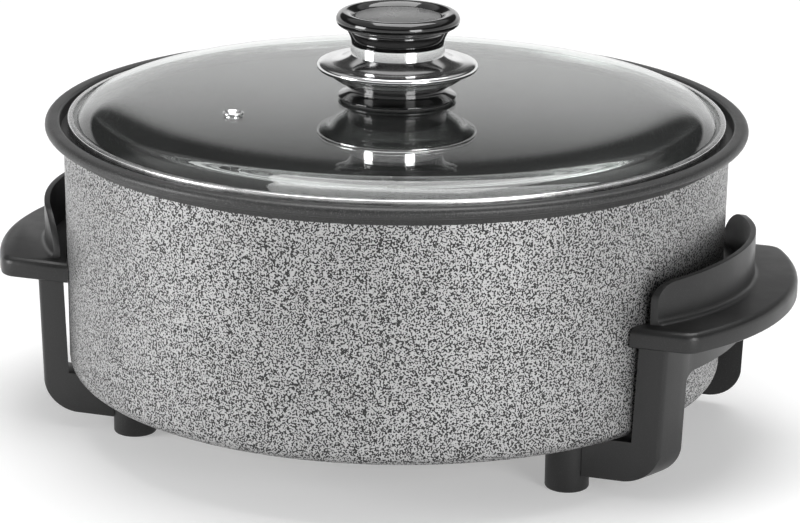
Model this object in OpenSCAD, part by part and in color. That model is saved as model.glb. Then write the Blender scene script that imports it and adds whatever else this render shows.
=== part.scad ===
// Electric hot pot: a wide cast pan with a heating ring clamped under its base, two
// moulded handles on leg frames, a socket for a plug-in thermostat and a lift-off glass lid.
// Origin: centre of the footprint, on the surface the pot stands on.
// +X points to the right-hand handle, +Z up, -Y to the front. Millimetres.

/* [Pan] */
// Outside diameter of the pan wall just below the rim
pan_d = 360; // [320:1:400]
// Difference between the wall's outside diameters at the rim and at the base
pan_taper = 3; // [0:0.5:6]
// Height of the pan from its underside to the top of the rim
pan_h = 139; // [126:1:160]
// Thickness of the side wall
wall_t = 3; // [2.5:0.1:4]
// Thickness of the heated base
base_t = 6; // [5.5:0.5:9]
// Outside radius between wall and base
base_edge_r = 7; // [4:0.5:9]
// Inside radius between wall and base
bowl_edge_r = 12; // [6:1:20]

/* [Rim] */
// How far the rim stands out past the wall
rim_reach = 10; // [9:0.5:14]
// Height of the rim's rolled edge
rim_edge_h = 6; // [5:0.5:8]
// Width of the land between the rim's outer edge and the lid recess
rim_land = 8; // [7:0.5:9]
// Depth of the lid seat below the top of the rim
seat_drop = 6.5; // [5:0.5:8]
// Width of the seat that carries the lid's band
seat_bearing = 3.8; // [2.5:0.1:5]
// Free gap around the lid inside its recess
lid_play = 3.8; // [2:0.1:5]

/* [Lid] */
// Height of the steel band around the glass
band_h = 7.5; // [6.5:0.5:9]
// Sheet thickness of the band
band_t = 0.8; // [0.5:0.1:1.1]
// How far the band's folds reach over the edge of the glass
band_fold = 3; // [2.4:0.1:4]
// Thickness of the glass
glass_t = 4; // [3.5:0.5:5]
// Rise of the glass from its flat edge to its centre
glass_rise = 9; // [6:0.5:16]
// Exponent of the dome: higher is flatter with a tighter shoulder
dome_power = 10; // [6:1:14]
// Width of the flat edge of the glass
glass_edge_w = 4; // [3.4:0.1:6]
// Distance of the steam vent from the lid's axis
vent_r = 96; // [70:1:120]
// Direction of the steam vent, anticlockwise from +X
vent_angle = 224; // [0:1:359]
// Bore of the steam vent
vent_bore_d = 3.6; // [2.5:0.1:3.9]
// Outside diameter of the vent's eyelet
vent_d = 11.2; // [10:0.1:14]

/* [Knob] */
// Height of the knob above the glass
knob_h = 47; // [44:0.5:56]
// Widest diameter of the grip
grip_d = 67; // [58:0.5:74]
// Diameter of the grip's neck where it meets the collar
neck_d = 50; // [47:0.5:51]
// Diameter of the plated guard disc
guard_d = 87; // [78:0.5:100]
// Diameter of the plated collar
collar_d = 51; // [48:0.5:54]
// Height of the top of the collar above the glass
collar_h = 29.6; // [28:0.2:32]
// Diameter of the foot that stands on the glass
knob_foot_d = 64; // [58:0.5:70]
// Height of that foot
knob_foot_h = 5.4; // [4:0.2:7]
// Diameter of the disc let into the top of the grip
badge_d = 46.6; // [40:0.2:50]
// Depth of the dish in the top of the grip
dish_h = 2.8; // [2:0.1:3.5]
// Sheet thickness of the plated guard
guard_t = 1.2; // [0.8:0.1:1.6]

/* [Handles] */
// Reach of each grip past the pan wall
grip_reach = 40.5; // [36:0.5:50]
// How far the grip stands out past the leg frame at its front and back
grip_over = 3.5; // [1:0.5:6]
// Thickness of the grip plate
grip_t = 10.6; // [9:0.2:13]
// Height of the grip's underside above the pan's underside
grip_z = 51; // [46:0.5:60]
// Gap between the pan wall and the grip
grip_gap = 0.6; // [0.4:0.1:2]
// Plan radius of the grip's curved outer edge
grip_arc_r = 153; // [135:1:175]
// How far that curve's centre lies off the handle's middle, towards the shield's sloping end
grip_skew = 3.5; // [0:0.5:5]
// Plan radius of the grip's corners
grip_corner_r = 11; // [8:0.5:14]
// Rounding of the grip's top edge
grip_edge_r = 3.6; // [2:0.2:5]
// Wall thickness of the hollow grip moulding
grip_wall = 3; // [2.5:0.1:3.5]

/* [Heat shields] */
// Distance from the pan wall to the outer face of the shield at its middle
shield_gap = 18; // [17.5:0.5:22]
// Thickness of the shield
shield_t = 3; // [2:0.1:4]
// Plan radius of the shield's outer face
shield_arc_r = 122; // [110:1:150]
// Distance from the grip's front and back ends in to the shield's ends
shield_inset = 9; // [8:0.5:18]
// Height of the shield above the grip at its middle
shield_h = 25; // [18:0.5:32]
// How much the shield's top edge falls towards its ends
shield_crown = 3.5; // [1:0.5:6]
// Radius of the shield's upper corner at its steep end
shield_corner_r = 10; // [4:0.5:14]
// Radius of the shield's upper corner at its sloping end
shield_slope_r = 21; // [12:0.5:24]

/* [Leg frames] */
// Half the width of the leg frame from front to back
frame_half_w = 84.5; // [81:0.5:86]
// Thickness of each leg from front to back
leg_t = 17.5; // [16.5:0.5:20]
// How far the middle of the apron stands out past the pan wall
frame_reach = 15.5; // [14.5:0.5:17]
// Plan radius of the outer face that the legs and the apron share
frame_arc_r = 190; // [170:1:240]
// How far that face leans out from the foot of the legs to the top
frame_lean = 3; // [0:0.1:4]
// Plan radius of each leg's outer corner
leg_corner_r = 3.5; // [1:0.5:6]
// Gap between the pan wall and the foot of each leg
leg_gap = 1.2; // [0.8:0.1:2.5]
// How much wider that gap is at the top of the leg
leg_lean = 1.6; // [0:0.1:3]
// Height of the bars that run in under the pan
bar_h = 21.8; // [16:0.2:23]
// Gap between the top of the bars and the pan's underside
bar_gap = 1.5; // [0.5:0.1:3]
// Radius of the heel between bar and leg
heel_r = 18; // [10:0.5:21]
// Height of the apron under the grip
apron_h = 17; // [14:0.5:20]
// Thickness of the apron
apron_t = 3; // [2.5:0.1:3.5]
// Radius of the arch where legs meet apron
arch_r = 7; // [4:0.5:12]
// Thickness of the flange that closes the grip from below
flange_t = 3; // [2.5:0.1:3.5]

/* [Feet] */
// Height of the pan's underside above the table
foot_h = 32.5; // [28:0.5:40]
// Diameter of each foot
foot_d = 23.3; // [20:0.1:26]
// Distance of each foot from the pan's axis along X
foot_x = 122.6; // [116:0.2:126]
// Distance of each foot's axis behind the leg's front face
foot_inset = 7.2; // [6:0.2:9]
// Thickness of the eye that the foot screw clamps
eye_t = 3; // [2.5:0.1:4]

/* [Heating] */
// Radius of the heating ring
ring_r = 95; // [80:1:98]
// Diameter of the heating tube
tube_d = 7; // [6:0.1:8]
// Bend radius where the ring turns out to the socket
tube_bend_r = 14; // [11:0.5:18]
// Half the distance between the socket's pins
pin_y = 16; // [15:0.5:17]
// Diameter of the socket's pins
pin_d = 6; // [5:0.1:6.4]
// Bore of the sleeve that takes the thermostat's probe
probe_d = 7.2; // [6:0.1:7.6]
// Height of the socket housing
inlet_h = 20; // [18:0.5:21]
// Width of the socket housing
inlet_w = 54; // [50:0.5:60]
// Wall thickness of the socket housing
inlet_wall = 2.5; // [2:0.1:3]
// Distance from the pan's edge in to the socket's mouth
inlet_set_back = 4; // [2:0.5:6]
// Depth of the socket housing
inlet_depth = 36; // [32:0.5:38]

/* [Fits] */
// Clearance of a fastener's shank in its hole
hole_fit = 0.3; // [0.2:0.05:0.5]
// Clearance between mouldings that slide into each other
mould_fit = 0.3; // [0.15:0.05:0.5]
// Clearance of the heating tube in its clips and under the base
tube_fit = 0.2; // [0.15:0.05:0.3]
// Diameter of the feet's and knob's screws
big_screw_d = 5; // [4:0.5:5.5]
// Diameter of the small screws
small_screw_d = 4; // [3:0.5:4.5]

/* [Hidden] */
$fn = 96;
eps = 0.5; // overlap that fuses the parts of one piece
hair = 0.05; // step between faces that would otherwise coincide

// Heights
base_z = foot_h;
rim_z = base_z + pan_h;
seat_z = rim_z - seat_drop;
floor_z = base_z + base_t;
plate_z = base_z + grip_z;
plate_top = plate_z + grip_t;
bar_top = base_z - bar_gap;
bar_z = bar_top - bar_h;
arch_z = plate_z - apron_h;

// Radii of the pan
wall_r = pan_d / 2;
low_r = wall_r - pan_taper / 2;
rim_r = wall_r + rim_reach;
lip_r = rim_r - rim_land;
rim_root = 5;      // height of the cast root under the rim
lip_round = 1.5;
lip_draft = 0.4;
seat_r = lip_r - lip_draft;
band_r = seat_r - lid_play;
seat_in_r = band_r - seat_bearing;
seat_edge_t = 2;   // thickness of the seat at its inner edge

// Handles: half widths from front to back, and centres of the plan arcs on the X axis
grip_half_w = frame_half_w + grip_over;
shield_half_w = grip_half_w - shield_inset;
grip_tip = wall_r + grip_reach;
grip_cx = grip_tip - grip_arc_r;
shield_tip = wall_r + shield_gap;
shield_cx = shield_tip - shield_arc_r;
frame_tip = wall_r + frame_reach;
frame_cx = frame_tip - frame_arc_r;
lean_a = atan2(frame_lean, plate_z - bar_z);
leg_in_y = frame_half_w - leg_t;
foot_y = frame_half_w - foot_inset;
eye_r = foot_d / 2 - 1;
lug_w = 11;
lug_t = 5;
lug_x = frame_tip - apron_t - lug_w / 2 - 0.8;   // screw axis of the lug, just inside the apron
grip_skin = 3.5;     // thickness of the grip's top skin
grip_screw_x = grip_tip - 16;
grip_screw_y = 34;
boss_r = 4.6;
top_gap = leg_gap + leg_lean;
flange_gap = grip_gap + grip_wall + mould_fit;

// Heating and socket, laid out on the -X side
tube_r = tube_d / 2;
ring_z = base_z - tube_r - tube_fit;
pin_z = base_z - inlet_h / 2;
mouth_x = low_r - inlet_set_back;
back_x = mouth_x - inlet_depth;
back_t = 3;
pin_len = inlet_depth - back_t - 6;
contact_len = pin_len - 3;
sleeve_r = probe_d / 2 + 1.4;
pad_x = back_x - 3;         // outer end of the cast pad that the probe sleeve lies against
pad_len = 22;
pad_w = 14;
bend_cx = sqrt(pow(ring_r + tube_bend_r, 2) - pow(pin_y + tube_bend_r, 2));
bend_a = atan2(pin_y + tube_bend_r, bend_cx);
lead_drop_len = 18;
clip_angles = [0, 100, -100];
clip_t = 1.2;
clip_pad = 9.5;              // distance of a clip's screws from the ring's centre line
ear_y = inlet_w / 2 + 5.5;
ear_x = mouth_x - 18;
ear_r = 5.5;
ear_t = 3;

// Lid and knob
band_z = seat_z;
glass_z = band_z + band_h - band_t - glass_t;       // underside of the flat edge
glass_r = band_r - band_t - 0.4;
dome_r = glass_r - glass_edge_w;
gasket_t = 0.8;
knob_z = glass_z + glass_t + glass_rise + gasket_t;
washer_t = 1.2;
vent_neck_r = vent_d / 2 - 1.9;     // neck of the eyelet, where it passes the glass
core_r = neck_d / 2 - 3.4;    // plastic core inside the plated guard
core_top = 17;                // where foot and grip meet inside the guard
guard_edge_z = 17.4;          // height of the guard's rolled edge above the glass
knob_screw_bite = 11;         // how far the knob's screw runs up into the grip
knob_hole_r = big_screw_d / 2 + hole_fit / 2;
badge_seat = 1.2;             // depth of the pocket that holds the badge

// Screws
base_hole = 4;                // depth of the blind holes in the pan's base
foot_head_z = 16;             // height of the foot screw's head seat

// ---- helpers ----

// Points of an arc about [x, y] from angle a0 to a1
function arc(x, y, r, a0, a1, n = 8) = [for (i = [0:n]) let (a = a0 + (a1 - a0) * i / n) [x + r * cos(a), y + r * sin(a)]];

// Radius of the pan wall at a height
function wall_at(z) = low_r + (wall_r - low_r) * (z - base_z) / pan_h;

// Height of the top of the glass at a radius
function glass_top(r) = glass_z + glass_t + (r < dome_r ? glass_rise * (1 - pow(r / dome_r, dome_power)) : 0);

// Point i of a path moved sideways by d, to the right of the path's direction
function unit(v) = v / norm(v);
function right_of(v) = [v[1], -v[0]];
function side_step(p, i, d) =
    let (a = i > 0 ? right_of(unit(p[i] - p[i - 1])) : right_of(unit(p[1] - p[0])),
         b = i < len(p) - 1 ? right_of(unit(p[i + 1] - p[i])) : a,
         m = unit(a + b))
    p[i] + m * d / (m * a);
// Closed outline of a sheet of thickness t along an open path
function sheet(p, t) = concat(p, [for (i = [len(p) - 1:-1:0]) side_step(p, i, t)]);

module revolve(points, fn = 180) {
    rotate_extrude($fn = fn) polygon(points);
}

// Pan-head screw standing head down, its head's bearing face at z = 0
module screw(d, length, head_d, head_h) {
    difference() {
        union() {
            translate([0, 0, -head_h]) cylinder(d = head_d, h = head_h, $fn = 32);
            translate([0, 0, -eps]) cylinder(d = d, h = length + eps, $fn = 24);
        }
        translate([0, 0, -head_h - 1]) cylinder(d = d * 0.7, h = head_h * 0.6 + 1, $fn = 6);
    }
}

// Space that the handles keep free around the pan wall between two heights
module pan_space(z0, z1, gap0, gap1) {
    translate([0, 0, z0])
        cylinder(r1 = wall_at(z0) + gap0, r2 = wall_at(z1) + gap1, h = z1 - z0, $fn = 240);
}

module at_feet() {
    for (sx = [-1, 1], sy = [-1, 1]) translate([sx * foot_x, sy * foot_y, 0]) children();
}

module at_clips() {
    for (a = clip_angles, s = [-1, 1]) rotate([0, 0, a]) translate([ring_r + s * clip_pad, 0, 0]) children();
}

// The left-hand handle is the right-hand one turned half round
module half_turn() {
    rotate([0, 0, 180]) children();
}

module both_handles() {
    children();
    half_turn() children();
}

// ---- pan ----

pan_profile = concat(
    [[0, base_z]],
    arc(low_r - base_edge_r, base_z + base_edge_r, base_edge_r, -90, 0, 6),
    [[wall_r, rim_z - rim_edge_h - rim_root],
     [wall_r + rim_root, rim_z - rim_edge_h]],
    arc(rim_r - rim_edge_h / 2, rim_z - rim_edge_h / 2, rim_edge_h / 2, -90, 90, 12),
    arc(lip_r + lip_round, rim_z - lip_round, lip_round, 90, 180, 4),
    [[seat_r, seat_z],
     [seat_in_r, seat_z],
     [seat_in_r, seat_z - seat_edge_t],
     [wall_r - wall_t, seat_z - seat_edge_t - (wall_r - wall_t - seat_in_r)]],
    arc(low_r - wall_t - bowl_edge_r, floor_z + bowl_edge_r, bowl_edge_r, 0, -90, 8),
    [[0, floor_z]]);

// Cast tongue that carries the handle at the wall
module wall_lug() {
    difference() {
        union() {
            translate([wall_at(plate_z) - wall_t / 2, -lug_w / 2, plate_z - lug_t])
                cube([lug_x - wall_at(plate_z) + wall_t / 2, lug_w, lug_t]);
            translate([lug_x, 0, plate_z - lug_t]) cylinder(d = lug_w, h = lug_t);
        }
        translate([lug_x, 0, plate_z - lug_t - 1])
            cylinder(d = small_screw_d + hole_fit, h = lug_t + 2, $fn = 32);
    }
}

// Cast pad under the base that the probe sleeve lies against, with drafted sides
module probe_pad() {
    z = pin_z + sleeve_r;
    draft = 1;
    translate([-pad_x, 0, 0]) rotate([90, 0, 90]) linear_extrude(pad_len)
        polygon([[draft - pad_w / 2, z], [pad_w / 2 - draft, z], [pad_w / 2, base_z + eps], [-pad_w / 2, base_z + eps]]);
}

module pan() {
    color([0.42, 0.42, 0.42]) {
        difference() {
            revolve(pan_profile, 240);
            at_feet() translate([0, 0, base_z - 1]) cylinder(d = big_screw_d + 0.1, h = base_hole + 1, $fn = 32);
            at_clips() translate([0, 0, base_z - 1]) cylinder(d = small_screw_d + 0.1, h = base_hole + 1, $fn = 32);
            for (s = [-1, 1]) translate([-ear_x, s * ear_y, base_z - 1])
                cylinder(d = small_screw_d + 0.1, h = base_hole + 1, $fn = 32);
        }
        both_handles() wall_lug();
        probe_pad();
    }
}

// ---- heating ----

// Straight stretch of tube between two points, with a small bead at its start
module tube_run(p, q) {
    v = q - p;
    translate(p) {
        sphere(r = tube_r + 0.1, $fn = 32);
        rotate([0, acos(v[2] / norm(v)), atan2(v[1], v[0])]) cylinder(r = tube_r, h = norm(v), $fn = 32);
    }
}

module heating_lead() {
    // bead where the ring turns into the bend
    translate([-ring_r * cos(bend_a), ring_r * sin(bend_a), ring_z]) sphere(r = tube_r + 0.1, $fn = 32);
    translate([-bend_cx, pin_y + tube_bend_r, ring_z]) rotate([0, 0, -90])
        rotate_extrude(angle = 90 - bend_a, $fn = 64) translate([tube_bend_r, 0]) circle(r = tube_r, $fn = 32);
    tube_run([-bend_cx, pin_y, ring_z], [-bend_cx - lead_drop_len, pin_y, pin_z]);
    tube_run([-bend_cx - lead_drop_len, pin_y, pin_z], [-back_x - back_t, pin_y, pin_z]);
}

module heating_element() {
    color([0.55, 0.53, 0.5]) {
        translate([0, 0, ring_z]) rotate([0, 0, bend_a - 180])
            rotate_extrude(angle = 360 - 2 * bend_a, $fn = 180)
                translate([ring_r, 0]) circle(r = tube_r, $fn = 32);
        heating_lead();
        mirror([0, 1, 0]) heating_lead();
    }
}

module clip_section() {
    difference() {
        union() {
            translate([ring_r - clip_pad - 5, base_z - clip_t]) square([2 * clip_pad + 10, clip_t]);
            translate([ring_r, ring_z]) circle(r = tube_r + tube_fit + clip_t, $fn = 48);
        }
        translate([ring_r, ring_z]) circle(r = tube_r + tube_fit, $fn = 48);
        translate([ring_r - tube_r - tube_fit, ring_z]) square([tube_d + 2 * tube_fit, base_z - ring_z + 5]);
        translate([ring_r - 20, base_z]) square([40, 20]);
    }
}

module element_clips() {
    color([0.72, 0.72, 0.72]) difference() {
        for (a = clip_angles) rotate([0, 0, a - 4]) rotate_extrude(angle = 8, $fn = 180) clip_section();
        at_clips() translate([0, 0, base_z - 5]) cylinder(d = small_screw_d + hole_fit, h = 6, $fn = 32);
    }
}

module clip_screws() {
    color([0.75, 0.75, 0.75]) at_clips() translate([0, 0, base_z - clip_t])
        screw(small_screw_d, clip_t + base_hole - 0.5, small_screw_d * 1.8, 2.4);
}

// ---- thermostat socket ----

module along_x(x, y, r, length) {
    translate([x, y, pin_z]) rotate([0, 90, 0]) cylinder(r = r, h = length, $fn = 48);
}

module inlet_housing() {
    color([0.13, 0.13, 0.13]) difference() {
        union() {
            translate([-mouth_x, -inlet_w / 2, base_z - inlet_h]) cube([inlet_depth, inlet_w, inlet_h]);
            for (s = [-1, 1]) {
                translate([-ear_x, s * ear_y, base_z - ear_t]) cylinder(r = ear_r, h = ear_t);
                translate([-ear_x - ear_r, s > 0 ? inlet_w / 2 - eps : -ear_y, base_z - ear_t])
                    cube([2 * ear_r, ear_y - inlet_w / 2 + eps, ear_t]);
            }
        }
        translate([-mouth_x - 1, inlet_wall - inlet_w / 2, base_z - inlet_h + inlet_wall])
            cube([inlet_depth - back_t + 1, inlet_w - 2 * inlet_wall, inlet_h - 2 * inlet_wall]);
        for (s = [-1, 1]) {
            along_x(-back_x - back_t - 1, s * pin_y, tube_r + hole_fit / 2, back_t + 2);
            translate([-ear_x, s * ear_y, base_z - ear_t - 1])
                cylinder(d = small_screw_d + hole_fit, h = ear_t + 2, $fn = 32);
        }
        along_x(-back_x - back_t - 1, 0, sleeve_r + hole_fit / 2, back_t + 2);
    }
}

module inlet_pins() {
    tip = 1.2;
    color([0.8, 0.8, 0.78]) for (s = [-1, 1]) {
        along_x(-back_x - back_t - pin_len + tip, s * pin_y, pin_d / 2, pin_len - tip);
        translate([-back_x - back_t - pin_len, s * pin_y, pin_z]) rotate([0, 90, 0])
            cylinder(r1 = pin_d / 2 - tip, r2 = pin_d / 2, h = tip, $fn = 48);
    }
}

module probe_sleeve() {
    start = -mouth_x + 6;
    length = -pad_x + pad_len - 2 - start;
    end_t = 2;
    color([0.7, 0.7, 0.68]) difference() {
        along_x(start, 0, sleeve_r, length);
        along_x(start - 1, 0, probe_d / 2, length - end_t + 1);
    }
}

module earth_contacts() {
    strip_t = 0.8;
    strip_h = inlet_h * 0.4;
    color([0.8, 0.78, 0.7]) for (s = [-1, 1])
        translate([-back_x - back_t - contact_len, s > 0 ? inlet_w / 2 - inlet_wall - strip_t : inlet_wall - inlet_w / 2,
                   pin_z - strip_h / 2]) cube([contact_len, strip_t, strip_h]);
}

module inlet_screws() {
    color([0.75, 0.75, 0.75]) for (s = [-1, 1]) translate([-ear_x, s * ear_y, base_z - ear_t])
        screw(small_screw_d, ear_t + base_hole - 0.5, small_screw_d * 1.8, 2.4);
}

// ---- grips and heat shields ----

// Centre of the grip's corner arc at its front (s = -1) or back (s = 1)
function grip_corner(s) =
    let (y = s * (grip_half_w - grip_corner_r))
    [grip_cx + sqrt(pow(grip_arc_r - grip_corner_r, 2) - pow(y - grip_skew, 2)), y];

// D-shaped outline of the grip, drawn in by d
function grip_outline(d, n = 24) =
    let (r = grip_arc_r - d, c = grip_corner_r - d, h = grip_half_w - d,
         front = grip_corner(-1), back = grip_corner(1), middle = [grip_cx, grip_skew],
         a0 = atan2(front[1] - middle[1], front[0] - middle[0]),
         a1 = atan2(back[1] - middle[1], back[0] - middle[0]))
    concat([[wall_r * 0.75, -h]],
           arc(front[0], front[1], c, -90, a0, 6),
           arc(middle[0], middle[1], r, a0, a1, n),
           arc(back[0], back[1], c, a1, 90, 6),
           [[wall_r * 0.75, h]]);

// The same outline with sharp corners, from true arcs
module grip_plan(d) {
    intersection() {
        translate([grip_cx, grip_skew]) circle(r = grip_arc_r - d, $fn = 240);
        translate([wall_r * 0.75, d - grip_half_w]) square([grip_reach + wall_r * 0.25, 2 * (grip_half_w - d)]);
    }
}

module grip_blank() {
    slice = 0.02;
    hull() {
        translate([0, 0, plate_z]) linear_extrude(slice) polygon(grip_outline(0.6));
        translate([0, 0, plate_z + 0.6]) linear_extrude(slice) polygon(grip_outline(0));
        for (a = [0:22.5:90])
            translate([0, 0, plate_top - grip_edge_r * (1 - sin(a)) - slice])
                linear_extrude(slice) polygon(grip_outline(grip_edge_r * (1 - cos(a))));
    }
}

// Side view of the shield: crowned top edge, a tight corner at the steep end and a wide one
// at the sloping end, z up from the plate
module shield_face() {
    w = shield_half_w;
    steep = shield_corner_r;
    slope = min(shield_slope_r, shield_h - shield_crown);
    crown_r = (w * w + shield_crown * shield_crown) / (2 * shield_crown);
    // height of the crown line at y
    function crown(y) = shield_h - crown_r + sqrt(crown_r * crown_r - y * y);
    span = 2 * w - slope - steep;
    polygon(concat([[-w, -eps], [w, -eps]],
                   arc(w - slope, crown(w - slope) - slope, slope, 0, 80, 12),
                   [for (i = [1:23]) let (y = w - slope - span * i / 24) [y, crown(y)]],
                   arc(steep - w, crown(w - steep) - steep, steep, 100, 180, 8)));
}

module shield() {
    // height and reach of the cove that blends the shield into the plate
    cove = 3;
    translate([0, 0, plate_top]) intersection() {
        translate([0, 0, -eps]) translate([shield_cx, 0, 0]) rotate([0, 0, -60])
            rotate_extrude(angle = 120, $fn = 240)
                polygon(concat([[shield_arc_r - shield_t, 0], [shield_arc_r + cove + eps, 0],
                                [shield_arc_r + cove, eps]],
                               arc(shield_arc_r + cove, eps + cove, cove, -110, -170, 4),
                               [[shield_arc_r, cove + eps + 1], [shield_arc_r, shield_h + 5],
                                [shield_arc_r - shield_t, shield_h + 5]]));
        rotate([90, 0, 90]) linear_extrude(grip_tip + 20) shield_face();
    }
}

module at_grip_screws() {
    for (s = [-1, 1]) translate([grip_screw_x, s * grip_screw_y, 0]) children();
}

module grip() {
    boss_z = plate_z + flange_t;
    boss_h = grip_t - flange_t - grip_skin + eps;
    difference() {
        union() {
            difference() {
                grip_blank();
                translate([0, 0, plate_z - 1]) linear_extrude(grip_t - grip_skin + 1) difference() {
                    grip_plan(grip_wall);
                    circle(r = wall_at(plate_z) + grip_gap + grip_wall, $fn = 240);
                }
            }
            at_grip_screws() translate([0, 0, boss_z]) cylinder(r = boss_r, h = boss_h, $fn = 48);
            translate([lug_x, 0, boss_z]) cylinder(r = boss_r, h = boss_h, $fn = 48);
            shield();
        }
        pan_space(plate_z - 1, plate_top + 1, grip_gap, grip_gap);
        at_grip_screws() translate([0, 0, boss_z - 1]) cylinder(d = small_screw_d + 0.1, h = boss_h + 1, $fn = 32);
        translate([lug_x, 0, boss_z - 1]) cylinder(d = small_screw_d + 0.1, h = boss_h + 1, $fn = 32);
    }
}

module grip_right() { color([0.17, 0.17, 0.17]) grip(); }

module grip_left() { color([0.17, 0.17, 0.17]) half_turn() grip(); }

// ---- leg frames ----

// Plan of one leg and its bar on the +Y side, at the height of the grip's underside
module leg_plan() {
    y = frame_half_w - leg_corner_r;
    x = frame_cx + sqrt(pow(frame_arc_r - leg_corner_r, 2) - y * y);
    turn = atan2(y, x - frame_cx);
    polygon(concat([[foot_x, leg_in_y]],
                   arc(frame_cx, 0, frame_arc_r, asin(leg_in_y / frame_arc_r), turn, 3),
                   arc(x, y, leg_corner_r, turn, 90, 6),
                   [[foot_x, frame_half_w]]));
}

// Plan of the apron, flush with the legs' outer faces
module apron_plan() {
    intersection() {
        difference() {
            translate([frame_cx, 0]) circle(r = frame_arc_r - hair, $fn = 360);
            translate([frame_cx, 0]) circle(r = frame_arc_r - apron_t, $fn = 360);
        }
        translate([wall_r * 0.9, -frame_half_w]) square([grip_reach + wall_r * 0.1, 2 * frame_half_w]);
    }
}

// Extrudes a plan drawn at the height of the grip's underside down from there by h,
// leaning in towards the foot
module leaning(h) {
    spare = 5;
    translate([frame_tip, 0, plate_z]) rotate([0, lean_a, 0]) translate([-frame_tip, 0, -h - spare])
        linear_extrude(h + 2 * spare) children();
}

// Front elevation of the apron, y across and z up: round corners lead into the legs
module apron_face() {
    corner_y = leg_in_y + 0.3 - arch_r;
    tuck = 2;          // how far the apron runs on inside each leg
    difference() {
        translate([-corner_y - arch_r - tuck, arch_z - arch_r])
            square([2 * (corner_y + arch_r + tuck), plate_z - arch_z + arch_r]);
        translate([-corner_y, arch_z - arch_r - 1]) square([2 * corner_y, arch_r + 1]);
        for (s = [-1, 1]) translate([s * corner_y, arch_z - arch_r]) circle(r = arch_r);
    }
}

// Round heel between bars and legs, as the ring-shaped space outside it
module heel_space() {
    z = bar_z + heel_r;
    shift = (plate_z - z) * tan(lean_a);
    translate([frame_cx - shift, 0, 0]) rotate([0, 0, -45]) rotate_extrude(angle = 90, $fn = 360) difference() {
        translate([frame_arc_r - heel_r, bar_z - 1]) square([heel_r + 5, heel_r + 1]);
        translate([frame_arc_r - heel_r + hair, z - hair]) circle(r = heel_r);
    }
}

module leg_body() {
    difference() {
        intersection() {
            union() {
                leaning(plate_z - bar_z) {
                    leg_plan();
                    mirror([0, 1]) leg_plan();
                }
                intersection() {
                    leaning(plate_z - arch_z + arch_r) apron_plan();
                    rotate([90, 0, 90]) linear_extrude(grip_tip) apron_face();
                }
            }
            translate([0, -frame_half_w - 1, bar_z]) cube([grip_tip, 2 * frame_half_w + 2, plate_z - bar_z]);
        }
        heel_space();
    }
}

// Flat eye at the end of each bar, clamped between foot and pan
module foot_eye() {
    translate([foot_x, foot_y, base_z - eye_t]) cylinder(r = eye_r, h = eye_t);
    translate([foot_x, foot_y - eye_r * 0.6, base_z - eye_t]) cube([foot_d, eye_r * 1.2, eye_t]);
}

module flange() {
    translate([0, 0, plate_z]) linear_extrude(flange_t) grip_plan(grip_wall + mould_fit);
}

module leg_frame() {
    difference() {
        union() {
            difference() {
                union() {
                    difference() {
                        leg_body();
                        pan_space(bar_top, plate_z + 1, leg_gap, top_gap);
                    }
                    difference() {
                        flange();
                        pan_space(plate_z - 1, plate_z + flange_t + 1, flange_gap, flange_gap);
                    }
                }
                for (s = [-1, 1]) translate([foot_x, s * foot_y, bar_z - 1])
                    cylinder(d = foot_d + 2 * mould_fit, h = base_z - bar_z + 1);
            }
            foot_eye();
            mirror([0, 1, 0]) foot_eye();
        }
        for (s = [-1, 1]) translate([foot_x, s * foot_y, base_z - eye_t - 1])
            cylinder(d = big_screw_d + hole_fit, h = eye_t + 2, $fn = 32);
        at_grip_screws() translate([0, 0, plate_z - 1]) cylinder(d = small_screw_d + hole_fit, h = flange_t + 2, $fn = 32);
        translate([lug_x, 0, plate_z - 1]) cylinder(d = small_screw_d + hole_fit, h = flange_t + 2, $fn = 32);
    }
}

module leg_frame_right() { color([0.19, 0.19, 0.19]) leg_frame(); }

module leg_frame_left() { color([0.19, 0.19, 0.19]) half_turn() leg_frame(); }

module grip_screws() {
    color([0.75, 0.75, 0.75]) both_handles() at_grip_screws() translate([0, 0, plate_z])
        screw(small_screw_d, grip_t - grip_skin - 0.5, small_screw_d * 1.8, 2.4);
}

module lug_screws() {
    color([0.75, 0.75, 0.75]) both_handles() translate([lug_x, 0, plate_z - lug_t])
        screw(small_screw_d, lug_t + grip_t - grip_skin - 0.5, small_screw_d * 1.8, 2.4);
}

// ---- feet ----

module foot() {
    h = base_z - eye_t;
    edge = 1.6;
    bore_r = big_screw_d / 2 + hole_fit / 2;
    well_r = big_screw_d * 0.95 + 0.6;
    revolve(concat([[well_r, 0]],
                   arc(foot_d / 2 - edge, edge, edge, -90, 0, 5),
                   [[foot_d / 2, h], [bore_r, h], [bore_r, foot_head_z], [well_r, foot_head_z]]), 64);
}

module foot_front_right() { color([0.12, 0.12, 0.12]) translate([foot_x, -foot_y, 0]) foot(); }

module foot_front_left() { color([0.12, 0.12, 0.12]) translate([-foot_x, -foot_y, 0]) foot(); }

module foot_back_right() { color([0.12, 0.12, 0.12]) translate([foot_x, foot_y, 0]) foot(); }

module foot_back_left() { color([0.12, 0.12, 0.12]) translate([-foot_x, foot_y, 0]) foot(); }

module foot_screws() {
    color([0.75, 0.75, 0.75]) at_feet() translate([0, 0, foot_head_z])
        screw(big_screw_d, base_z + base_hole - 0.5 - foot_head_z, big_screw_d * 1.9, 3);
}

// ---- lid ----

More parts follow.
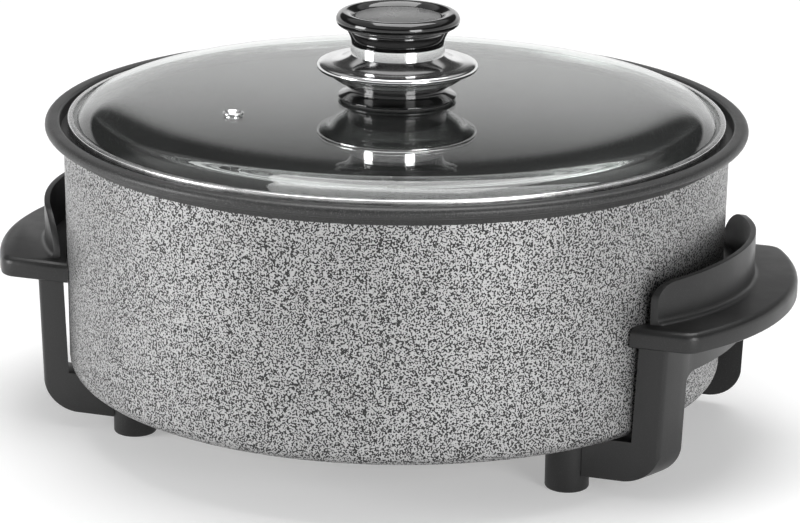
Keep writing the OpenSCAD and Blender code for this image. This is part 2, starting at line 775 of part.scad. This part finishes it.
module lid_glass() {
    n = 28;
    radii = [for (i = [0:n]) dome_r * sin(90 * i / n)];
    top = concat([for (r = radii) [r, glass_top(r)]], [[glass_r, glass_top(glass_r)]]);
    color([0.75, 0.8, 0.8, 0.45]) difference() {
        revolve(concat(top, [for (i = [len(top) - 1:-1:0]) top[i] - [0, glass_t]]), 240);
        translate([0, 0, glass_z]) cylinder(d = big_screw_d + 3, h = glass_rise + glass_t + 1, $fn = 32);
        rotate([0, 0, vent_angle]) translate([vent_r, 0, glass_z])
            cylinder(r = vent_neck_r + hole_fit, h = glass_rise + glass_t + 1, $fn = 48);
    }
}

module lid_band() {
    in_r = band_r - band_t;
    top_z = band_z + band_h;
    color([0.83, 0.83, 0.83]) revolve(concat(
        [[band_r - band_fold, top_z - band_t], [band_r - band_fold, top_z]],
        arc(band_r - band_t, top_z - band_t, band_t, 90, 0, 3),
        [[band_r, band_z], [in_r, band_z], [in_r, glass_z - band_t],
         [band_r - band_fold, glass_z - band_t], [band_r - band_fold, glass_z],
         [in_r, glass_z], [in_r, top_z - band_t]]), 240);
}

// Dished eyelet: a rounded ring on the glass that falls to the bore, and a flat collar below
module vent_grommet() {
    bore = vent_bore_d / 2;
    lip = vent_d / 2;
    ring = 0.75;        // half the thickness of the rounded ring
    up = glass_top(vent_r - lip);
    down = glass_top(vent_r + lip) - glass_t;
    color([0.8, 0.8, 0.8]) rotate([0, 0, vent_angle]) translate([vent_r, 0, 0]) revolve(concat(
        [[bore, down - 0.8], [lip - 0.4, down - 0.8], [lip, down], [vent_neck_r, down], [vent_neck_r, up],
         [lip - ring, up]],
        arc(lip - ring, up + ring, ring, -60, 120, 8),
        [[bore + 0.3, up - 0.2], [bore, up - 0.6]]), 48);
}

// ---- knob, stacked on the glass ----

module on_glass() {
    translate([0, 0, knob_z]) children();
}

module knob_gasket() {
    color([0.2, 0.2, 0.2]) translate([0, 0, knob_z - gasket_t])
        revolve([[knob_hole_r + 0.5, 0], [knob_foot_d / 2 - 1.5, 0], [knob_foot_d / 2 - 1.5, gasket_t], [knob_hole_r + 0.5, gasket_t]], 96);
}

module knob_foot() {
    r = knob_foot_d / 2;
    waist = collar_d / 2;
    color([0.05, 0.05, 0.05]) on_glass() revolve(concat(
        [[knob_hole_r, 0], [r - 0.6, 0], [r, 0.6], [r, 1.2]],
        [for (i = [1:6]) let (t = i / 6) [waist + (r - waist) * pow(1 - t, 1.8), 1.2 + (knob_foot_h - 1.2) * t]],
        [[core_r, knob_foot_h], [core_r, core_top], [knob_hole_r, core_top]]), 120);
}

// Outer line of the guard from its seat on the foot up over the disc to the collar's top
guard_path = concat(
    [[core_r + 1, knob_foot_h], [collar_d / 2 + 0.4, knob_foot_h],
     [guard_d / 2 - 7.5, guard_edge_z - 5.2],
     [guard_d / 2 - 6.8, guard_edge_z - 3.6],
     [guard_d / 2 - 1.8, guard_edge_z - 2]],
    arc(guard_d / 2 - 1.8, guard_edge_z, 1.8, -60, 75, 6),
    [[guard_d / 2 - 5, guard_edge_z + 2.2]],
    [for (i = [1:6]) let (t = i / 6)
        [guard_d / 2 - 5 - (guard_d / 2 - 5 - collar_d / 2) * t, guard_edge_z + 2.2 + 4.6 * pow(t, 2.6)]],
    [[collar_d / 2, collar_h]]);

module knob_guard() {
    color([0.85, 0.85, 0.85]) on_glass() revolve(sheet_left(guard_path, guard_t), 160);
}

// Sheet with its thickness to the left of the path
function sheet_left(p, t) = sheet(p, -t);

module knob_grip() {
    neck = neck_d / 2;
    r = grip_d / 2;
    top = knob_h;
    badge_r = badge_d / 2 + mould_fit / 2;
    dish = top - dish_h;
    bulge = 4.4;        // height of the rim's rounded upper half
    tuck = 3;           // and of its lower half
    color([0.05, 0.05, 0.05]) on_glass() difference() {
        revolve(concat(
            [[0, core_top], [core_r, core_top], [core_r, collar_h], [neck, collar_h]],
            [for (i = [1:6]) let (t = i / 6) [neck + 3.4 * pow(t, 2), collar_h + (top - 9 - collar_h) * t]],
            [[neck + 4.7, top - 8.4], [neck + 4.7, top - 7.8]],
            arc(r - tuck, top - bulge, tuck, -90, -15, 5),
            arc(r - bulge, top - bulge, bulge, 0, 80, 8),
            [[badge_r + 3.6, top - 0.2], [badge_r + 0.4, dish + 0.5], [badge_r, dish], [0, dish]]), 120);
        translate([0, 0, core_top - 1]) cylinder(d = big_screw_d + 0.1, h = knob_screw_bite + 2, $fn = 32);
        translate([0, 0, dish - badge_seat]) cylinder(r = badge_r, h = dish_h + badge_seat + 1);
    }
}

module knob_badge() {
    color([0.25, 0.25, 0.25]) on_glass() translate([0, 0, knob_h - dish_h - badge_seat])
        cylinder(d1 = badge_d, d2 = badge_d - 0.3, h = badge_seat + 0.3);
}

module knob_washer() {
    color([0.7, 0.7, 0.7]) translate([0, 0, glass_top(0) - glass_t - washer_t]) difference() {
        cylinder(d = 20, h = washer_t);
        translate([0, 0, -1]) cylinder(d = big_screw_d + hole_fit, h = washer_t + 2, $fn = 32);
    }
}

module knob_screw() {
    seat = glass_top(0) - glass_t - washer_t;
    color([0.75, 0.75, 0.75]) translate([0, 0, seat])
        screw(big_screw_d, knob_z + core_top + knob_screw_bite - seat, big_screw_d * 1.9, 3);
}

pan();
heating_element();
element_clips();
clip_screws();
inlet_housing();
inlet_pins();
probe_sleeve();
earth_contacts();
inlet_screws();
grip_right();
grip_left();
leg_frame_right();
leg_frame_left();
grip_screws();
lug_screws();
foot_front_right();
foot_front_left();
foot_back_right();
foot_back_left();
foot_screws();
lid_glass();
lid_band();
vent_grommet();
knob_gasket();
knob_foot();
knob_guard();
knob_grip();
knob_badge();
knob_washer();
knob_screw();
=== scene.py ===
"""Looks of the electric hot pot with its glass lid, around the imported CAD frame.

Frame: metres, +X to the right-hand handle, +Z up, -Y to the front. Every CAD node but the
lid's glass keeps its solid and gets a procedural finish, rounded edges where it is moulded,
and smooth shading. The glass is made here, with a tighter shoulder.
"""

import math

import bpy
from mathutils import Matrix, Vector


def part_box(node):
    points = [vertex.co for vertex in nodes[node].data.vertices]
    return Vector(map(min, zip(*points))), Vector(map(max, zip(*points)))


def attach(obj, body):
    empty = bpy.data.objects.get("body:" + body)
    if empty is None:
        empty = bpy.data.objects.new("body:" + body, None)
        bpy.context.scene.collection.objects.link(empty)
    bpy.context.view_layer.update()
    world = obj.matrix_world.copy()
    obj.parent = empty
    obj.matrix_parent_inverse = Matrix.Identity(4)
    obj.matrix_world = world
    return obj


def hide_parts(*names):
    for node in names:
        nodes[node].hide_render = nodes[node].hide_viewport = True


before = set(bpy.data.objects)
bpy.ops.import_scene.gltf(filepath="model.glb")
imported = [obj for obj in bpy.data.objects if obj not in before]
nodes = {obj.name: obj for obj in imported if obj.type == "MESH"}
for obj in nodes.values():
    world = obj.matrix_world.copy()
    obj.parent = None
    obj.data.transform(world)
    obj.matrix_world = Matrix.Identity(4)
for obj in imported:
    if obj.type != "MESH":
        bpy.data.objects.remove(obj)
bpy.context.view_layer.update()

# ---- camera ----

CAMERA_AT = Vector((0.5732, -1.6947, 0.6249))
LOOK_AT = Vector((0.0025, 0.00085, 0.0881))
ROLL = math.radians(0.71)
LENS_MM = 153.1
SENSOR_MM = 36.0


def make_camera():
    data = bpy.data.cameras.new("camera")
    data.lens = LENS_MM
    data.sensor_fit = "HORIZONTAL"
    data.sensor_width = SENSOR_MM
    data.clip_start = 0.05
    data.clip_end = 60.0
    camera = bpy.data.objects.new("camera", data)
    bpy.context.scene.collection.objects.link(camera)
    forward = (LOOK_AT - CAMERA_AT).normalized()
    right = forward.cross(Vector((0, 0, 1))).normalized()
    up = right.cross(forward)
    across = right * math.cos(ROLL) + up * math.sin(ROLL)
    upward = up * math.cos(ROLL) - right * math.sin(ROLL)
    turn = Matrix((across, upward, -forward)).transposed()
    camera.matrix_world = Matrix.Translation(CAMERA_AT) @ turn.to_4x4()
    bpy.context.scene.camera = camera


# ---- node trees ----


def add(tree, kind, inputs=None, **settings):
    """A node of that kind. Each input is a socket to link or a plain value."""
    node = tree.nodes.new(kind)
    for name, value in settings.items():
        setattr(node, name, value)
    for name, value in (inputs or {}).items():
        if isinstance(value, bpy.types.NodeSocket):
            tree.links.new(value, node.inputs[name])
        else:
            node.inputs[name].default_value = value
    return node


def calc(tree, operation, a, b=0.0):
    return add(tree, "ShaderNodeMath", {0: a, 1: b}, operation=operation).outputs[0]


def grey(value):
    return (value, value, value, 1.0)


def blend_colour(tree, share, low, high):
    """Colour low where share is 0 and high where it is 1."""
    mix = add(tree, "ShaderNodeMix", {"Factor": share}, data_type="RGBA")
    for socket, value in ((mix.inputs[6], low), (mix.inputs[7], high)):
        if isinstance(value, bpy.types.NodeSocket):
            tree.links.new(value, socket)
        else:
            socket.default_value = value
    return mix.outputs[2]


def between(tree, value, low, high, to_low=0.0, to_high=1.0, smooth=True):
    """value carried from low..high to to_low..to_high, clamped."""
    kind = "SMOOTHSTEP" if smooth else "LINEAR"
    node = add(tree, "ShaderNodeMapRange",
               {"Value": value, "From Min": low, "From Max": high, "To Min": to_low, "To Max": to_high},
               interpolation_type=kind)
    return node.outputs["Result"]


def noise(tree, where, scale, detail=0.0, roughness=0.5, distortion=0.0):
    node = add(tree, "ShaderNodeTexNoise",
               {"Vector": where, "Scale": scale, "Detail": detail, "Roughness": roughness,
                "Distortion": distortion})
    return node.outputs["Fac"]


def bump(tree, height, distance, strength=1.0, under=None):
    """Normal of a surface whose height runs from 0 to distance metres."""
    inputs = {"Height": height, "Distance": distance, "Strength": strength}
    if under is not None:
        inputs["Normal"] = under
    return add(tree, "ShaderNodeBump", inputs).outputs["Normal"]


class Finish:
    """A material with its tree, its place coordinates and one output."""

    def __init__(self, name):
        self.material = bpy.data.materials.new(name)
        self.material.use_nodes = True
        self.tree = self.material.node_tree
        self.tree.nodes.clear()
        self.where = add(self.tree, "ShaderNodeTexCoord").outputs["Object"]
        self.out = add(self.tree, "ShaderNodeOutputMaterial")

    def axes(self):
        split = add(self.tree, "ShaderNodeSeparateXYZ", {"Vector": self.where})
        return split.outputs["X"], split.outputs["Y"], split.outputs["Z"]

    def radius(self):
        """Distance from the pot's own vertical axis."""
        flat = add(self.tree, "ShaderNodeVectorMath", {0: self.where, 1: (1.0, 1.0, 0.0)},
                   operation="MULTIPLY").outputs["Vector"]
        return add(self.tree, "ShaderNodeVectorMath", {0: flat}, operation="LENGTH").outputs["Value"]

    def surface(self, **inputs):
        """Principled shader; names are given with _ for a space."""
        shader = add(self.tree, "ShaderNodeBsdfPrincipled",
                     {name.replace("_", " "): value for name, value in inputs.items()})
        return shader.outputs["BSDF"]

    def end(self, shader):
        self.tree.links.new(shader, self.out.inputs["Surface"])
        return self.material


# ---- finishes ----

WALL_R = 0.180              # outside of the pan wall under the rim
OUTSIDE_R = WALL_R - 0.0023  # anything wider than this is outside the pan
BASE_IN_R = WALL_R - 0.0075  # where the wall's paint ends under the base
FLOOR_Z = 0.0385            # inside floor of the pan
RIM_ROOT_Z = 0.1605         # where the rim starts to flare from the wall


def pan_finish():
    """Hammertone paint on the wall, dark non-stick coat on rim and inside."""
    f = Finish("pan_coats")
    t = f.tree
    _, _, z = f.axes()
    r = f.radius()
    outside = calc(t, "MAXIMUM", calc(t, "GREATER_THAN", r, OUTSIDE_R), calc(t, "LESS_THAN", z, FLOOR_Z))
    on_wall = calc(t, "MULTIPLY", calc(t, "LESS_THAN", z, RIM_ROOT_Z), calc(t, "GREATER_THAN", r, BASE_IN_R))
    painted = calc(t, "MULTIPLY", outside, on_wall)

    # hammertone: a light labyrinth over a dark ground
    grain = noise(t, f.where, 1150.0, distortion=0.35)
    light = between(t, grain, 0.455, 0.515)
    tone = noise(t, f.where, 60.0, detail=2.0)
    silver = blend_colour(t, tone, grey(0.42), grey(0.52))
    paint_colour = blend_colour(t, light, grey(0.010), silver)
    paint = f.surface(Base_Color=paint_colour, Metallic=calc(t, "MULTIPLY", light, 0.92),
                      Roughness=between(t, light, 0.0, 1.0, 0.48, 0.41),
                      Normal=bump(t, light, 0.00006))

    # non-stick coat: near black with fine pale flecks
    fleck = between(t, noise(t, f.where, 2600.0), 0.60, 0.72)
    patch = noise(t, f.where, 35.0, detail=3.0)
    coat_colour = blend_colour(t, fleck, blend_colour(t, patch, grey(0.016), grey(0.026)), grey(0.10))
    coat = f.surface(Base_Color=coat_colour, Roughness=between(t, patch, 0.3, 0.7, 0.36, 0.44),
                     Normal=bump(t, noise(t, f.where, 1500.0, detail=1.0), 0.00004))
    mix = add(t, "ShaderNodeMixShader", {0: painted, 1: coat, 2: paint})
    return f.end(mix.outputs[0])


def moulded_finish(name, colour, roughness, grain=1400.0, relief=0.00003):
    """Moulded plastic: faint tonal drift, fine grain and uneven sheen."""
    f = Finish(name)
    t = f.tree
    drift = noise(t, f.where, 45.0, detail=3.0)
    speck = between(t, noise(t, f.where, 2200.0), 0.66, 0.74)
    base = blend_colour(t, drift, grey(colour * 0.85), grey(colour * 1.15))
    shader = f.surface(Base_Color=blend_colour(t, speck, base, grey(colour * 2.4)),
                       Roughness=between(t, drift, 0.3, 0.7, roughness - 0.04, roughness + 0.05),
                       Normal=bump(t, noise(t, f.where, grain, detail=2.0), relief))
    return f.end(shader)


def gloss_finish(name, colour):
    """Polished plastic with a slight waviness."""
    f = Finish(name)
    t = f.tree
    drift = noise(t, f.where, 120.0, detail=2.0)
    shader = f.surface(Base_Color=blend_colour(t, drift, grey(colour * 0.8), grey(colour * 1.2)),
                       Roughness=between(t, drift, 0.2, 0.8, 0.07, 0.13), Coat_Weight=0.5,
                       Coat_Roughness=0.05, Normal=bump(t, noise(t, f.where, 160.0), 0.00002))
    return f.end(shader)


def turned_metal(name, colour, roughness, spread):
    """Spun or rolled metal: streaks that run round the pot's axis."""
    f = Finish(name)
    t = f.tree
    _, _, z = f.axes()
    r = f.radius()
    rings = add(t, "ShaderNodeCombineXYZ", {"X": r, "Y": z, "Z": 0.0}).outputs["Vector"]
    streak = noise(t, rings, 2600.0, detail=3.0, roughness=0.7)
    cloud = noise(t, f.where, 70.0, detail=2.0)
    base = blend_colour(t, streak, grey(colour * 0.88), grey(colour))
    rough = calc(t, "ADD", between(t, streak, 0.3, 0.7, roughness, roughness + spread),
                 between(t, cloud, 0.3, 0.7, 0.0, spread * 0.5))
    shader = f.surface(Base_Color=base, Metallic=1.0, Roughness=rough,
                       Normal=bump(t, streak, 0.000006))
    return f.end(shader)


def plain_metal(name, colour, roughness):
    """Plated or drawn metal with clouded dulling."""
    f = Finish(name)
    t = f.tree
    cloud = noise(t, f.where, 260.0, detail=4.0)
    dull = tuple(c * 0.75 for c in colour) + (1.0,)
    shader = f.surface(Base_Color=blend_colour(t, cloud, dull, colour + (1.0,)), Metallic=1.0,
                       Roughness=between(t, cloud, 0.3, 0.7, roughness, roughness + 0.14),
                       Normal=bump(t, noise(t, f.where, 1800.0, detail=2.0), 0.00001))
    return f.end(shader)


def tube_finish():
    """Steel sheath of the heating ring, straw to blue where it has been hot."""
    f = Finish("heated_tube")
    t = f.tree
    heat = noise(t, f.where, 28.0, detail=3.0)
    warm = blend_colour(t, between(t, heat, 0.35, 0.6), (0.40, 0.36, 0.31, 1.0), (0.30, 0.22, 0.16, 1.0))
    tint = blend_colour(t, between(t, heat, 0.58, 0.72), warm, (0.16, 0.17, 0.24, 1.0))
    shader = f.surface(Base_Color=tint, Metallic=0.9, Roughness=between(t, heat, 0.3, 0.7, 0.36, 0.52),
                       Normal=bump(t, noise(t, f.where, 900.0, detail=3.0), 0.00002))
    return f.end(shader)


def glass_finish():
    """Clear lid glass; light for shadows passes nearly unweakened."""
    f = Finish("lid_glass_clear")
    t = f.tree
    smear = noise(t, f.where, 18.0, detail=3.0)
    glass = f.surface(Base_Color=(0.93, 0.95, 0.94, 1.0), Transmission_Weight=1.0, IOR=1.5,
                      Roughness=between(t, smear, 0.45, 0.75, 0.0, 0.03))
    clear = add(t, "ShaderNodeBsdfTransparent", {"Color": (0.88, 0.9, 0.89, 1.0)})
    shadow = add(t, "ShaderNodeLightPath").outputs["Is Shadow Ray"]
    mix = add(t, "ShaderNodeMixShader", {0: shadow, 1: glass, 2: clear.outputs[0]})
    return f.end(mix.outputs[0])


FINISHES = {
    "pan": pan_finish(),
    "handle": moulded_finish("handle_phenolic", 0.010, 0.36),
    "foot": moulded_finish("foot_phenolic", 0.008, 0.48),
    "socket": moulded_finish("socket_plastic_black", 0.012, 0.46),
    "badge": moulded_finish("badge_satin", 0.16, 0.30, grain=3000.0, relief=0.000008),
    "gasket": moulded_finish("gasket_silicone", 0.05, 0.62),
    "knob": gloss_finish("knob_black", 0.005),
    "guard": turned_metal("guard_chrome", 0.86, 0.08, 0.06),
    "band": turned_metal("band_steel", 0.82, 0.16, 0.12),
    "vent": turned_metal("vent_steel", 0.85, 0.10, 0.08),
    "plated": plain_metal("plated_zinc", (0.66, 0.66, 0.64), 0.30),
    "nickel": plain_metal("nickel_pin", (0.70, 0.68, 0.62), 0.24),
    "brass": plain_metal("contact_strip", (0.74, 0.58, 0.30), 0.32),
    "tube": tube_finish(),
    "glass": glass_finish(),
}

# finish, edge rounding in metres, shading angle in degrees; the glass is dressed by make_glass
DRESS = {
    "pan": ("pan", 0.0, 40),
    "heating_element": ("tube", 0.0, 50),
    "element_clips": ("plated", 0.0, 40),
    "clip_screws": ("plated", 0.0, 40),
    "inlet_housing": ("socket", 0.0005, 40),
    "inlet_pins": ("nickel", 0.0, 40),
    "probe_sleeve": ("nickel", 0.0, 40),
    "earth_contacts": ("brass", 0.0, 40),
    "inlet_screws": ("plated", 0.0, 40),
    "grip_right": ("handle", 0.0006, 40),
    "grip_left": ("handle", 0.0006, 40),
    "leg_frame_right": ("handle", 0.0008, 40),
    "leg_frame_left": ("handle", 0.0008, 40),
    "grip_screws": ("plated", 0.0, 40),
    "lug_screws": ("plated", 0.0, 40),
    "foot_front_right": ("foot", 0.0, 40),
    "foot_front_left": ("foot", 0.0, 40),
    "foot_back_right": ("foot", 0.0, 40),
    "foot_back_left": ("foot", 0.0, 40),
    "foot_screws": ("plated", 0.0, 40),
    "lid_band": ("band", 0.0, 50),
    "vent_grommet": ("vent", 0.0, 50),
    "knob_gasket": ("gasket", 0.0, 40),
    "knob_foot": ("knob", 0.0, 40),
    "knob_guard": ("guard", 0.0, 50),
    "knob_grip": ("knob", 0.0, 40),
    "knob_badge": ("badge", 0.0003, 40),
    "knob_washer": ("plated", 0.0, 40),
    "knob_screw": ("plated", 0.0, 40),
}


def smoothing_group():
    """Geometry nodes that shade smooth except across edges sharper than an angle."""
    group = bpy.data.node_groups.new("smooth_by_angle", "GeometryNodeTree")
    group.interface.new_socket("Geometry", in_out="INPUT", socket_type="NodeSocketGeometry")
    limit = group.interface.new_socket("Angle", in_out="INPUT", socket_type="NodeSocketFloat")
    group.interface.new_socket("Geometry", in_out="OUTPUT", socket_type="NodeSocketGeometry")
    start = add(group, "NodeGroupInput")
    plain = add(group, "GeometryNodeRemoveAttribute",
                {"Geometry": start.outputs["Geometry"], "Name": "custom_normal"})
    faces = add(group, "GeometryNodeSetShadeSmooth",
                {"Geometry": plain.outputs["Geometry"], "Shade Smooth": True}, domain="FACE")
    angle = add(group, "GeometryNodeInputMeshEdgeAngle").outputs["Unsigned Angle"]
    soft = add(group, "FunctionNodeCompare", {0: angle, 1: start.outputs["Angle"]},
               data_type="FLOAT", operation="LESS_THAN").outputs[0]
    edges = add(group, "GeometryNodeSetShadeSmooth",
                {"Geometry": faces.outputs["Geometry"], "Shade Smooth": soft}, domain="EDGE")
    add(group, "NodeGroupOutput", {"Geometry": edges.outputs["Geometry"]})
    return group, limit.identifier


WELD_WITHIN = 0.000002       # metres between points that become one
FLAT_WITHIN = 0.2            # degrees between faces that count as one flat face
ROUND_OVER = 38              # degrees over which an edge is rounded


def smooth_shading(piece, angle, group, limit):
    smooth = piece.modifiers.new("smooth", "NODES")
    smooth.node_group = group
    smooth[limit] = math.radians(angle)


def dress(name, finish, rounding, angle, group, limit):
    piece = nodes[name]
    piece.data.materials.clear()
    piece.data.materials.append(FINISHES[finish])
    weld = piece.modifiers.new("weld", "WELD")
    weld.merge_threshold = WELD_WITHIN
    if rounding:
        flat = piece.modifiers.new("flat", "DECIMATE")
        flat.decimate_type = "DISSOLVE"
        flat.angle_limit = math.radians(FLAT_WITHIN)
        bevel = piece.modifiers.new("bevel", "BEVEL")
        bevel.width = rounding
        bevel.segments = 3
        bevel.limit_method = "ANGLE"
        bevel.angle_limit = math.radians(ROUND_OVER)
    smooth_shading(piece, angle, group, limit)


# ---- the lid's glass ----

GLASS_THICK = 0.004
GLASS_EDGE = 0.004           # flat edge held by the band
GLASS_ROUND = 0.0008         # how much the outer edge's corners are cut
SCREW_HOLE_R = 0.004
VENT_HOLE_R = 0.004
CUT_PAST = 0.01              # how far the vent hole's cutter stands out on both sides
DOME_POWER = 26              # how late and tightly the dome turns down
SHOULDER_FROM = 0.75         # share of the dome's radius from which rings lie closer
TOP_RINGS = 18
SHOULDER_RINGS = 40
GLASS_TURNS = 256
HOLE_TURNS = 48
GLASS_SHADE_ANGLE = 32


def make_glass(group, limit):
    """The domed glass with a flat top and a tight shoulder, with its screw hole and vent hole."""
    low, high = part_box("lid_glass")
    outer = (high.x - low.x) / 2
    dome_r = outer - GLASS_EDGE
    rise = high.z - low.z - GLASS_THICK
    radii = [SCREW_HOLE_R] + [dome_r * SHOULDER_FROM * i / TOP_RINGS for i in range(1, TOP_RINGS + 1)]
    radii += [dome_r * (SHOULDER_FROM + (1 - SHOULDER_FROM) * math.sin(math.pi / 2 * i / SHOULDER_RINGS))
              for i in range(1, SHOULDER_RINGS + 1)]
    radii += [outer - GLASS_ROUND, outer]

    def dome(r):
        return rise * (1.0 - min(r / dome_r, 1.0) ** DOME_POWER)

    def cut(r):
        return GLASS_ROUND if r == outer else 0.0

    under = [(r, low.z + dome(r) + cut(r)) for r in radii]
    upper = [(r, low.z + dome(r) + GLASS_THICK - cut(r)) for r in radii]
    ring = under + upper[::-1]
    verts, faces = [], []
    for k in range(GLASS_TURNS):
        turn = 2 * math.pi * k / GLASS_TURNS
        verts += [(r * math.cos(turn), r * math.sin(turn), z) for r, z in ring]
    n = len(ring)
    for k in range(GLASS_TURNS):
        here, there = k * n, (k + 1) % GLASS_TURNS * n
        for i in range(n):
            j = (i + 1) % n
            faces.append((here + i, here + j, there + j, there + i))
    mesh = bpy.data.meshes.new("glass_dome")
    mesh.from_pydata(verts, [], faces)
    mesh.validate()
    glass = bpy.data.objects.new("glass_dome", mesh)
    bpy.context.scene.collection.objects.link(glass)

    # the vent's hole, where the grommet sits
    vent_low, vent_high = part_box("vent_grommet")
    centre = (vent_low + vent_high) / 2
    turns = [2 * math.pi * k / HOLE_TURNS for k in range(HOLE_TURNS)]
    rim = [(centre.x + VENT_HOLE_R * math.cos(turn), centre.y + VENT_HOLE_R * math.sin(turn)) for turn in turns]
    sides = [(k, (k + 1) % HOLE_TURNS, HOLE_TURNS + (k + 1) % HOLE_TURNS, HOLE_TURNS + k)
             for k in range(HOLE_TURNS)]
    caps = [tuple(range(HOLE_TURNS - 1, -1, -1)), tuple(range(HOLE_TURNS, 2 * HOLE_TURNS))]
    pin = bpy.data.meshes.new("vent_hole")
    pin.from_pydata([(x, y, low.z - CUT_PAST) for x, y in rim] + [(x, y, high.z + CUT_PAST) for x, y in rim],
                    [], sides + caps)
    cutter = bpy.data.objects.new("vent_hole", pin)
    bpy.context.scene.collection.objects.link(cutter)
    drill = glass.modifiers.new("vent_hole", "BOOLEAN")
    drill.operation = "DIFFERENCE"
    drill.solver = "EXACT"
    drill.object = cutter
    seen = glass.evaluated_get(bpy.context.evaluated_depsgraph_get())
    glass.data = bpy.data.meshes.new_from_object(seen)
    glass.modifiers.clear()
    bpy.data.objects.remove(cutter)
    glass.data.materials.clear()
    glass.data.materials.append(FINISHES["glass"])
    smooth_shading(glass, GLASS_SHADE_ANGLE, group, limit)
    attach(glass, "lid")
    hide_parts("lid_glass")


# ---- stage ----


FLOOR_HALF = 12.0
FLOOR_GLOW = 0.35            # own light of the floor, as seen and mirrored


def make_floor():
    """Pale floor: takes the shadow, and shows white where nothing shades it."""
    h = FLOOR_HALF
    mesh = bpy.data.meshes.new("floor")
    mesh.from_pydata([(-h, -h, 0), (h, -h, 0), (h, h, 0), (-h, h, 0)], [], [(0, 1, 2, 3)])
    floor = bpy.data.objects.new("floor", mesh)
    bpy.context.scene.collection.objects.link(floor)
    f = Finish("floor_white")
    t = f.tree
    path = add(t, "ShaderNodeLightPath")
    seen = calc(t, "MAXIMUM", path.outputs["Is Camera Ray"],
                calc(t, "MAXIMUM", path.outputs["Is Glossy Ray"], path.outputs["Is Transmission Ray"]))
    mottle = noise(t, f.where, 3.0, detail=2.0)
    matte = add(t, "ShaderNodeBsdfDiffuse", {"Color": blend_colour(t, mottle, grey(0.74), grey(0.76))})
    glow = add(t, "ShaderNodeEmission", {"Color": grey(1.0), "Strength": calc(t, "MULTIPLY", seen, FLOOR_GLOW)})
    both = add(t, "ShaderNodeAddShader", {0: matte.outputs[0], 1: glow.outputs[0]})
    mesh.materials.append(f.end(both.outputs[0]))


# name, azimuth and elevation in degrees, distance, width and height in metres, brightness
SOFTBOXES = [
    ("left", -55, 12, 2.6, 1.0, 1.1, 10.0),
    ("right", 52, 12, 2.6, 1.0, 1.1, 8.0),
    ("top", 180, 80, 2.4, 2.0, 2.0, 4.0),
]
LIT_POINT = Vector((0.0, 0.0, 0.10))


def make_softbox(name, azimuth, elevation, distance, width, height, brightness):
    """Area light aimed at the pot; brightness is what a mirror would show."""
    data = bpy.data.lights.new("softbox_" + name, "AREA")
    data.shape = "RECTANGLE"
    data.size = width
    data.size_y = height
    data.energy = brightness * math.pi * width * height
    lamp = bpy.data.objects.new("softbox_" + name, data)
    a, e = math.radians(azimuth), math.radians(elevation)
    towards = Vector((math.sin(a) * math.cos(e), -math.cos(a) * math.cos(e), math.sin(e)))
    lamp.location = LIT_POINT + towards * distance
    lamp.rotation_mode = "QUATERNION"
    lamp.rotation_quaternion = towards.to_track_quat("Z", "Y")
    lamp.visible_camera = False
    bpy.context.scene.collection.objects.link(lamp)


SOFT_LIGHT = 0.25            # level of the surroundings on matt surfaces
BACKDROP_TOP = 12.9          # elevation up to which reflections see the white backdrop
BACKDROP_FADE = 15.9         # elevation above which they see the dark studio
STUDIO_DARK = 0.05
BACKDROP = 1.0               # level of the backdrop in reflections
CEILING_FROM = 30.0          # elevation from which they see the pale ceiling
CEILING_FULL = 38.0
CEILING = 0.50


def make_world():
    world = bpy.data.worlds.new("studio")
    bpy.context.scene.world = world
    world.use_nodes = True
    t = world.node_tree
    t.nodes.clear()
    path = add(t, "ShaderNodeLightPath")
    height = add(t, "ShaderNodeSeparateXYZ",
                 {"Vector": add(t, "ShaderNodeTexCoord").outputs["Generated"]}).outputs["Z"]
    wall = between(t, height, math.sin(math.radians(BACKDROP_TOP)), math.sin(math.radians(BACKDROP_FADE)),
                   BACKDROP, STUDIO_DARK)
    ceiling = between(t, height, math.sin(math.radians(CEILING_FROM)), math.sin(math.radians(CEILING_FULL)),
                      0.0, CEILING)
    backdrop = calc(t, "MAXIMUM", wall, ceiling)
    mirrored = calc(t, "MAXIMUM", path.outputs["Is Glossy Ray"], path.outputs["Is Transmission Ray"])
    soft = add(t, "ShaderNodeBackground", {"Color": grey(1.0), "Strength": SOFT_LIGHT})
    gloss = add(t, "ShaderNodeBackground", {"Color": grey(1.0), "Strength": backdrop})
    white = add(t, "ShaderNodeBackground", {"Color": grey(1.0), "Strength": 1.0})
    lit = add(t, "ShaderNodeMixShader", {0: mirrored, 1: soft.outputs[0], 2: gloss.outputs[0]})
    shown = add(t, "ShaderNodeMixShader",
                {0: path.outputs["Is Camera Ray"], 1: lit.outputs[0], 2: white.outputs[0]})
    add(t, "ShaderNodeOutputWorld", {"Surface": shown.outputs[0]})


# ---- the scene ----

make_camera()
group, limit = smoothing_group()
for name, (finish, rounding, angle) in DRESS.items():
    dress(name, finish, rounding, angle, group, limit)
make_glass(group, limit)
make_floor()
for box in SOFTBOXES:
    make_softbox(*box)
make_world()
bpy.context.scene.view_settings.view_transform = "Standard"
